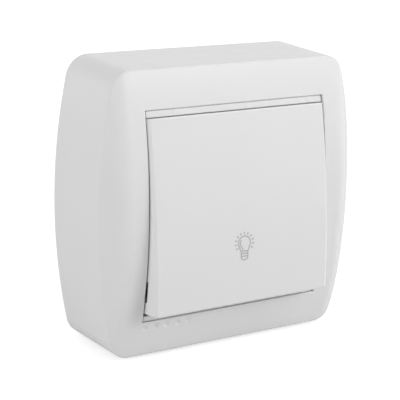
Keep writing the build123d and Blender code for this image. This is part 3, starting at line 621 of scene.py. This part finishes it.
wrap = printed_symbol.modifiers.new("wrap", "SHRINKWRAP")
wrap.target = nodes["button"]
wrap.wrap_method = "NEAREST_SURFACEPOINT"
wrap.wrap_mode = "ABOVE_SURFACE"
wrap.offset = INK_LIFT
thick = printed_symbol.modifiers.new("thickness", "SOLIDIFY")
thick.thickness = INK_THICKNESS
thick.offset = 1.0
for modifier in ("wrap", "thickness"):
    bpy.ops.object.modifier_apply(modifier=modifier)
print("print spans", [round(v / MM, 2) for v in printed_symbol.dimensions], "mm")

# %% [markdown]
# ## The ink
#
# Such a symbol is pad printed, which leaves a matt film of slightly uneven thickness. One fine noise
# gives all of that: where it is high, the grey is a little paler, the gloss duller and the surface a
# trace higher. The ink has a material of its own, so its grey is set apart from the plastic's.

# %% Ink material
FILM_SCALE = 2600.0
FILM_PALER = 1.08
FILM_ROUGHNESS = (0.4, 0.55)
FILM_RELIEF = 0.1
FILM_HEIGHT = 0.01 * MM


def printed_ink(name, colour):
    """Pad printed ink: a matt grey with the slight unevenness of a thin film."""
    material, tree, shader = new_material(name)
    film = noise(tree, object_pattern(tree), FILM_SCALE, detail=2.0)
    thin = tuple(part * FILM_PALER for part in colour)
    grey = between(tree, spread(tree, film, 0.0, 1.0), colour, thin)
    tree.links.new(grey, shader.inputs["Base Color"])
    tree.links.new(spread(tree, film, *FILM_ROUGHNESS), shader.inputs["Roughness"])
    bump(tree, film, shader, FILM_RELIEF, FILM_HEIGHT)
    return material


printed_symbol.data.materials.clear()
printed_symbol.data.materials.append(printed_ink("symbol_grey", (0.46, 0.46, 0.47)))
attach(printed_symbol, "push")
print("print dressed")

# %% [markdown]
# ## The camera
#
# The photograph was taken from the left and a little above, about 35 cm away, through a long lens.
# Its position, aim and roll were found by fitting the edges of the cover and of its opening. The
# small shifts say that the picture was cropped slightly off its centre.

# %% Camera
AZIMUTH, ELEVATION, ROLL = (math.radians(v) for v in (31.67, 14.855, 1.348))
TARGET = Vector((-6.319, -20.0, 2.123)) * MM
DISTANCE = 348.596 * MM
FOCAL_PIXELS, IMAGE_PIXELS = 1306.214, 400
CENTRE_X, CENTRE_Y = 201.215, 196.026
SENSOR_WIDTH = 36.0
CLIP_NEAR, CLIP_FAR = 0.01, 20.0

camera_data = bpy.data.cameras.new("camera")
camera = bpy.data.objects.new("camera", camera_data)
bpy.context.scene.collection.objects.link(camera)
bpy.context.scene.camera = camera
back = Vector(
    (
        -math.sin(AZIMUTH) * math.cos(ELEVATION),
        -math.cos(AZIMUTH) * math.cos(ELEVATION),
        math.sin(ELEVATION),
    )
)
level_right = (-back).cross(Vector((0.0, 0.0, 1.0))).normalized()
level_up = level_right.cross(-back)
right = level_right * math.cos(ROLL) + level_up * math.sin(ROLL)
above = level_up * math.cos(ROLL) - level_right * math.sin(ROLL)
camera.matrix_world = Matrix.Translation(TARGET + back * DISTANCE) @ Matrix(
    ((right.x, above.x, back.x), (right.y, above.y, back.y), (right.z, above.z, back.z))
).to_4x4()
camera_data.sensor_width = SENSOR_WIDTH
camera_data.lens = FOCAL_PIXELS / IMAGE_PIXELS * SENSOR_WIDTH
camera_data.shift_x = (IMAGE_PIXELS / 2 - CENTRE_X) / IMAGE_PIXELS
camera_data.shift_y = (CENTRE_Y - IMAGE_PIXELS / 2) / IMAGE_PIXELS
camera_data.clip_start, camera_data.clip_end = CLIP_NEAR, CLIP_FAR
print("lens", round(camera_data.lens, 1), "mm")

# %% [markdown]
# ## Floor, world and light
#
# The photograph is a white cut-out, lit so softly that no face is far from the next. A pale floor
# lies under the switch, throws light back on its lower faces and keeps a faint shadow. Part of its
# brightness towards the camera is its own, so that it meets the white of the world without an edge.
# In a reflection it is a little darker than the world, which leaves a soft horizon on the glossy
# button.

# %% Floor
FLOOR_SIZE = 2.4
FLOOR_GREY = 0.7
FLOOR_ROUGHNESS = 0.9
FLOOR_TO_CAMERA = 0.62
FLOOR_IN_GLOSS = 0.2


def floor_material():
    """Pale floor: mostly matt, with enough of its own light towards the camera to read as white."""
    material, tree, shader = new_material("floor_white")
    shader.inputs["Base Color"].default_value = (FLOOR_GREY, FLOOR_GREY, FLOOR_GREY, 1.0)
    shader.inputs["Roughness"].default_value = FLOOR_ROUGHNESS
    shader.inputs["Specular IOR Level"].default_value = 0.0
    path = add_node(tree, "ShaderNodeLightPath")
    glow = add_node(tree, "ShaderNodeEmission")
    seen = add_node(tree, "ShaderNodeMath", operation="MAXIMUM")
    tree.links.new(path.outputs["Is Camera Ray"], seen.inputs[0])
    tree.links.new(path.outputs["Is Transmission Ray"], seen.inputs[1])
    straight = add_node(tree, "ShaderNodeMath", operation="MULTIPLY")
    straight.inputs[1].default_value = FLOOR_TO_CAMERA
    tree.links.new(seen.outputs["Value"], straight.inputs[0])
    mirrored = add_node(tree, "ShaderNodeMath", operation="MULTIPLY")
    mirrored.inputs[1].default_value = FLOOR_IN_GLOSS
    tree.links.new(path.outputs["Is Glossy Ray"], mirrored.inputs[0])
    level = add_node(tree, "ShaderNodeMath", operation="MAXIMUM")
    tree.links.new(straight.outputs["Value"], level.inputs[0])
    tree.links.new(mirrored.outputs["Value"], level.inputs[1])
    tree.links.new(level.outputs["Value"], glow.inputs["Strength"])
    both = add_node(tree, "ShaderNodeAddShader")
    tree.links.new(shader.outputs["BSDF"], both.inputs[0])
    tree.links.new(glow.outputs["Emission"], both.inputs[1])
    tree.links.new(both.outputs["Shader"], tree.nodes["Material Output"].inputs["Surface"])
    return material


bpy.ops.object.select_all(action="DESELECT")
bpy.ops.mesh.primitive_plane_add(size=FLOOR_SIZE, location=(0.0, 0.0, cad_box[0].z))
floor = bpy.context.object
floor.name = "floor"
floor.data.materials.append(floor_material())
print("floor at z =", round(cad_box[0].z / MM, 2), "mm")

# %% World
WORLD_LIGHT = 0.38

world = bpy.data.worlds.new("studio")
bpy.context.scene.world = world
world.use_nodes = True
sky = world.node_tree
backdrop = sky.nodes["Background"]
backdrop.inputs["Color"].default_value = (1.0, 1.0, 1.0, 1.0)
path = add_node(sky, "ShaderNodeLightPath")
camera_or_gloss = add_node(sky, "ShaderNodeMath", operation="MAXIMUM")
sky.links.new(path.outputs["Is Camera Ray"], camera_or_gloss.inputs[0])
sky.links.new(path.outputs["Is Glossy Ray"], camera_or_gloss.inputs[1])
shown = add_node(sky, "ShaderNodeMath", operation="MAXIMUM")
sky.links.new(camera_or_gloss.outputs["Value"], shown.inputs[0])
sky.links.new(path.outputs["Is Transmission Ray"], shown.inputs[1])
strength = add_node(sky, "ShaderNodeMapRange")
strength.inputs["To Min"].default_value = WORLD_LIGHT
strength.inputs["To Max"].default_value = 1.0
sky.links.new(shown.outputs["Value"], strength.inputs["Value"])
sky.links.new(strength.outputs["Result"], backdrop.inputs["Strength"])
print("world light", WORLD_LIGHT)

# %% [markdown]
# ## The lamps
#
# Broad lamps model the shape. The strongest stands in front on the right, so the right of the cover
# is brighter than its left. One on the left opens the side wall, a weak one in front keeps the gaps
# grey instead of black, and one behind lights the back. They are too large and bright to be seen in
# the gloss, where they would burn out the rounded corners, so they are kept out of it. Two narrow
# strips are seen in it: one overhead draws the bright line along each upper edge, and a lower one
# does the same for the narrow rail.

# %% Lamps
LOOK_AT = Vector((0.0, -0.02, 0.0))


def broad_lamp(name, place, width, height, watts, in_gloss=False):
    """A rectangular area lamp that looks at the switch, seen in its gloss or not."""
    data = bpy.data.lights.new(name, "AREA")
    data.shape = "RECTANGLE"
    data.size = width
    data.size_y = height
    data.energy = watts
    lamp = bpy.data.objects.new(name, data)
    bpy.context.scene.collection.objects.link(lamp)
    lamp.visible_camera = False
    lamp.visible_glossy = in_gloss
    lamp.location = place
    lamp.rotation_mode = "QUATERNION"
    lamp.rotation_quaternion = (LOOK_AT - Vector(place)).to_track_quat("-Z", "Y")


broad_lamp("lamp_right", (0.92, -0.8, 0.32), 1.0, 0.9, 7.0)
broad_lamp("lamp_left", (-1.1, -0.1, 0.25), 0.5, 0.5, 4.5)
broad_lamp("lamp_front", (0.0, -1.35, 0.3), 1.4, 0.9, 1.1)
broad_lamp("lamp_back", (0.0, 1.2, 0.2), 0.8, 0.4, 3.0)
broad_lamp("lamp_edges", (0.6, -0.25, 1.0), 1.1, 0.34, 2.6, in_gloss=True)
broad_lamp("lamp_rail", (0.61, -0.9, 0.5), 0.5, 0.25, 1.4, in_gloss=True)
print("lamps:", [light.name for light in bpy.data.lights])

# %% [markdown]
# ## Look settings
#
# Standard view transform shows colours as they are lit.

# %% Finish
bpy.context.scene.view_settings.view_transform = "Standard"
